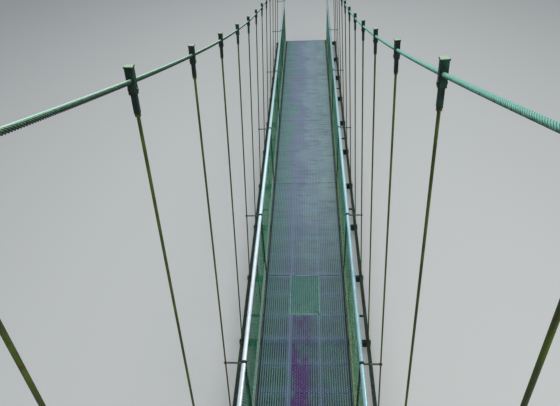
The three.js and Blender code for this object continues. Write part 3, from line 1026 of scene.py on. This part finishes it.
def deck_paint():
    """Slate paint: painted light over the frame, painted highlights and far sheen, a purple lane, dark
    edges and joints.
    """
    material, tree, shader = new_material("deck_paint")
    place = object_place(tree)
    x, y = part_of(tree, place, "X"), part_of(tree, place, "Y")
    aged = use_group(tree, AGED_PAINT, {
        "Paint": (0.006, 0.024, 0.046), "Faded": (0.004, 0.05, 0.026), "Dirt": (0.004, 0.01, 0.008),
        "Patch scale": 2.2, "Fading": 0.5, "Dirtiness": 0.25,
    })
    near_end = ease(tree, y, *GREEN_FROM_FAR, 0.0, 0.5)
    green = times(tree, ease(tree, x, *GREEN_FROM_MIDDLE), near_end)
    color = blend(tree, green, aged["Color"], RIGHT_GREEN)
    color = frame_light_and_highlights(tree, x, y, color)
    color = blend(tree, purple_wear(tree, place, x, y), color, WORN_PURPLE)
    color = stringer_strips(tree, x, y, color)
    # painted sheen, paler towards the far end
    far_sheen = ease(tree, y, *SHEEN_FROM_NEAR, 0.0, 0.72)
    color = blend(tree, far_sheen, color, far_sheen_tone(tree, place, x))
    # darker along the deck's edges
    edges = ease(tree, calc(tree, "ABSOLUTE", x), *EDGE_DARKENING, 0.0, 0.8)
    joints = even_lines(tree, y, SHEET_JOINTS, 0.8)
    color = blend(tree, calc(tree, "MAXIMUM", joints, edges), color, JOINT_DARK)
    set_surface(tree, shader, color, gloss(tree, aged["Dull"], 0.38, 0.65), aged["Height"], 0.15)
    return material


def patch_paint():
    """The overlay's green, with the same painted highlights along its mesh as on the deck."""
    material, tree, shader = new_material("patch_paint")
    aged = use_group(tree, AGED_PAINT, {
        "Paint": (0.037, 0.13, 0.11), "Faded": (0.058, 0.15, 0.105), "Dirt": (0.02, 0.045, 0.035),
        "Dirtiness": 0.25,
    })
    # painted highlights along the mesh's strands
    ridges = even_lines(tree, part_of(tree, object_place(tree), "X"), STRAND_HIGHLIGHT_LINES, 0.6)
    color = blend(tree, ridges, aged["Color"], PATCH_STRAND_HIGHLIGHT)
    set_surface(tree, shader, color, 0.55, aged["Height"], 0.15)
    return material


# The side panels' paint

# The darker lines at the kick strips' bonds: their colour, and where they lie
BOND_DARK = (0.004, 0.012, 0.005)
BOND_LINES = (STATION_0, KICK_DIAMOND[0], 0.012, 0.014)
LINKS_AWAY = (2.8, 5.8)


def kick_paint(name, paint, faded, bond_darkness):
    """The kick strips' paint, darker in lines at the bonds between the diamonds."""
    material, tree, shader = new_material(name)
    along = part_of(tree, object_place(tree), "Y")
    aged = use_group(tree, AGED_PAINT, {
        "Paint": paint, "Faded": faded, "Dirt": (0.03, 0.07, 0.03), "Patch scale": 7.0,
    })
    bonds = even_lines(tree, along, BOND_LINES, bond_darkness)
    color = blend(tree, bonds, aged["Color"], BOND_DARK)
    set_surface(tree, shader, color, gloss(tree, aged["Dull"], 0.45, 0.7), aged["Height"], 0.5)
    return material


def link_paint(name, near, away):
    """The wires' paint: a paint and a faded colour at the near end, and the same two further away."""
    material, tree, shader = new_material(name)
    share = ease(tree, part_of(tree, object_place(tree), "Y"), *LINKS_AWAY)
    paint, faded = (blend(tree, share, *tones) for tones in zip(near, away))
    aged = use_group(tree, AGED_PAINT, {"Paint": paint, "Faded": faded, "Dirt": (0.003, 0.02, 0.008)})
    set_surface(tree, shader, aged["Color"], gloss(tree, aged["Dull"], 0.5, 0.7), aged["Height"])
    return material


# The rails', ropes' and hangers' paint

# Where the rails' painted highlight turns to its away tone
RAIL_HIGHLIGHT_AWAY = (3.0, 7.0)
ROPE_SHADE = (0.003, 0.012, 0.008)


def rail_paint(name, highlight, away, flank):
    """A pipe's paint: a painted highlight along its top, in a near and an away tone, with painted shade and
    dirt on its flanks.
    """
    material, tree, shader = new_material(name)
    place = object_place(tree)
    wander = times(tree, calc(tree, "SUBTRACT", mottle(tree, place, 14.0), 0.5), 0.3)
    # painted highlight on the upward faces
    top = ease(tree, calc(tree, "ADD", facing_up(tree), wander), 0.12, 0.34)
    top_highlight = use_group(tree, AGED_PAINT, {
        "Paint": highlight, "Faded": tuple(0.85 * value for value in highlight), "Dirt": (0.2, 0.3, 0.25),
        "Patch scale": 5.0, "Fading": 0.3, "Dirtiness": 0.05,
    })
    # painted shade on the flanks, with dirt
    sides = use_group(tree, AGED_PAINT, {
        "Paint": flank, "Faded": (0.03, 0.09, 0.065), "Dirt": (0.012, 0.014, 0.01),
        "Patch scale": 4.0, "Fading": 0.2, "Dirtiness": 0.4,
    })
    further = ease(tree, part_of(tree, place, "Y"), *RAIL_HIGHLIGHT_AWAY, 0.0, 0.9)
    highlight_tone = blend(tree, further, top_highlight["Color"], away)
    color = blend(tree, top, sides["Color"], highlight_tone)
    set_surface(tree, shader, color, gloss(tree, top, 0.55, 0.22), top_highlight["Height"], 0.5, 0.0001)
    feed(tree, shader.inputs["Metallic"], ease(tree, top, 0.0, 1.0, 0.0, 0.15))
    return material


def rope_paint(name, flank, top, shade):
    """A wire rope's paint, with a painted highlight along its top, and painted shade where its surface
    faces lower than the shade.
    """
    material, tree, shader = new_material(name)
    up = facing_up(tree)
    aged = use_group(tree, AGED_PAINT, {
        "Paint": flank, "Faded": tuple(1.4 * value for value in flank), "Dirt": (0.01, 0.02, 0.01),
        "Patch scale": 5.0, "Dirtiness": 0.35,
    })
    # painted highlight along the top
    lit = blend(tree, ease(tree, up, 0.3, 0.95), aged["Color"], top)
    color = blend(tree, ease(tree, up, shade, shade - 0.6), lit, ROPE_SHADE)
    set_surface(tree, shader, color, 0.55, aged["Height"], 0.3)
    return material


def mossy(name, ground, growth, stain, scale, share, top=None):
    """Paint under moss and rust stains, as on the rods and their clamps, with painted light on level tops.
    """
    material, tree, shader = new_material(name)
    values = {"Ground": ground, "Growth": growth, "Stain": stain, "Scale": scale, "Share": share}
    grown = use_group(tree, MOSS_AND_RUST, values)
    color = grown["Color"]
    # painted light on level, upward faces
    if top:
        color = blend(tree, ease(tree, facing_up(tree), 0.8, 0.95), color, top)
    fine = mottle(tree, object_place(tree), 420.0, 3.0)
    height = calc(tree, "ADD", times(tree, fine, 0.4), grown["Mask"])
    set_surface(tree, shader, color, gloss(tree, grown["Mask"], 0.5, 0.85), height, relief=0.0004)
    return material


FRAME_PAINT = painted("frame_paint", (0.009, 0.042, 0.027), (0.022, 0.075, 0.052), DARK_DIRT, dirtiness=0.4)
BEAM_PAINT = beam_paint()
DECK_PAINT = deck_paint()
PATCH_PAINT = patch_paint()
PATCH_EDGE_PAINT = painted("patch_edge_paint", (0.09, 0.2, 0.2), (0.12, 0.25, 0.24), (0.05, 0.1, 0.09))
LINK_PAINT = {
    "left": link_paint(
        "link_paint_left",
        near=[(0.004, 0.1, 0.055), (0.012, 0.16, 0.085)],
        away=[(0.05, 0.24, 0.13), (0.08, 0.3, 0.17)],
    ),
    # The right side's wires are painted lighter and yellower near the end, as painted highlights on their
    # lit parts
    "right": link_paint(
        "link_paint_right",
        near=[(0.1, 0.215, 0.125), (0.14, 0.28, 0.17)],
        away=[(0.06, 0.2, 0.14), (0.1, 0.27, 0.2)],
    ),
}
KICK_PAINT = {
    "left": kick_paint("kick_paint_left", (0.34, 0.56, 0.43), (0.46, 0.68, 0.57), 0.5),
    "right": kick_paint("kick_paint_right", (0.4, 0.7, 0.32), (0.5, 0.77, 0.4), 0.95),
}
# Painted highlights along the rails' tops, whiter on the left and cyan on the right, over flanks painted in
# shade
RAIL_PAINT = {
    "left": rail_paint(
        "rail_paint_left",
        highlight=(0.62, 0.69, 0.74), away=(0.39, 0.585, 0.59), flank=(0.005, 0.02, 0.016),
    ),
    "right": rail_paint(
        "rail_paint_right",
        highlight=(0.235, 0.4, 0.44), away=(0.29, 0.46, 0.48), flank=(0.007, 0.036, 0.028),
    ),
}
COLLAR_BLACK = painted("collar_black", (0.003, 0.004, 0.004), (0.007, 0.009, 0.008), DARK_DIRT, patch=20.0)
# The clamps' caps get painted light on their level tops
CLAMP_PAINT = mossy(
    "clamp_paint", ground=(0.002, 0.01, 0.007), growth=(0.008, 0.045, 0.026), stain=(0.015, 0.01, 0.005),
    scale=30.0, share=0.3, top=(0.2, 0.27, 0.18),
)
ROD_PAINT = mossy(
    "rod_paint", ground=(0.026, 0.036, 0.004), growth=(0.055, 0.08, 0.012), stain=(0.055, 0.03, 0.006),
    scale=12.0, share=0.5,
)
# Lit and shaded copies of one paint: the left rope's flank painted in shade under a bright top, the right
# one's painted lit
ROPE_PAINT = {
    "left": rope_paint("rope_paint_left", (0.03, 0.085, 0.045), (0.3, 0.45, 0.36), 0.1),
    "right": rope_paint("rope_paint_right", (0.07, 0.2, 0.12), (0.11, 0.28, 0.23), -0.2),
}


def deck_frames():
    """The frames are shown as the CAD has them, in their own paint."""
    for bay in range(1, BAYS + 1):
        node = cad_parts[f"deck_frame_{bay}"]
        node.data.materials.clear()
        node.data.materials.append(BEAM_PAINT)


set_camera()
set_stage()
deck_frames()
deck_sheets()
deck_patch()
side_panels()
handrails()
main_cables()
hangers()
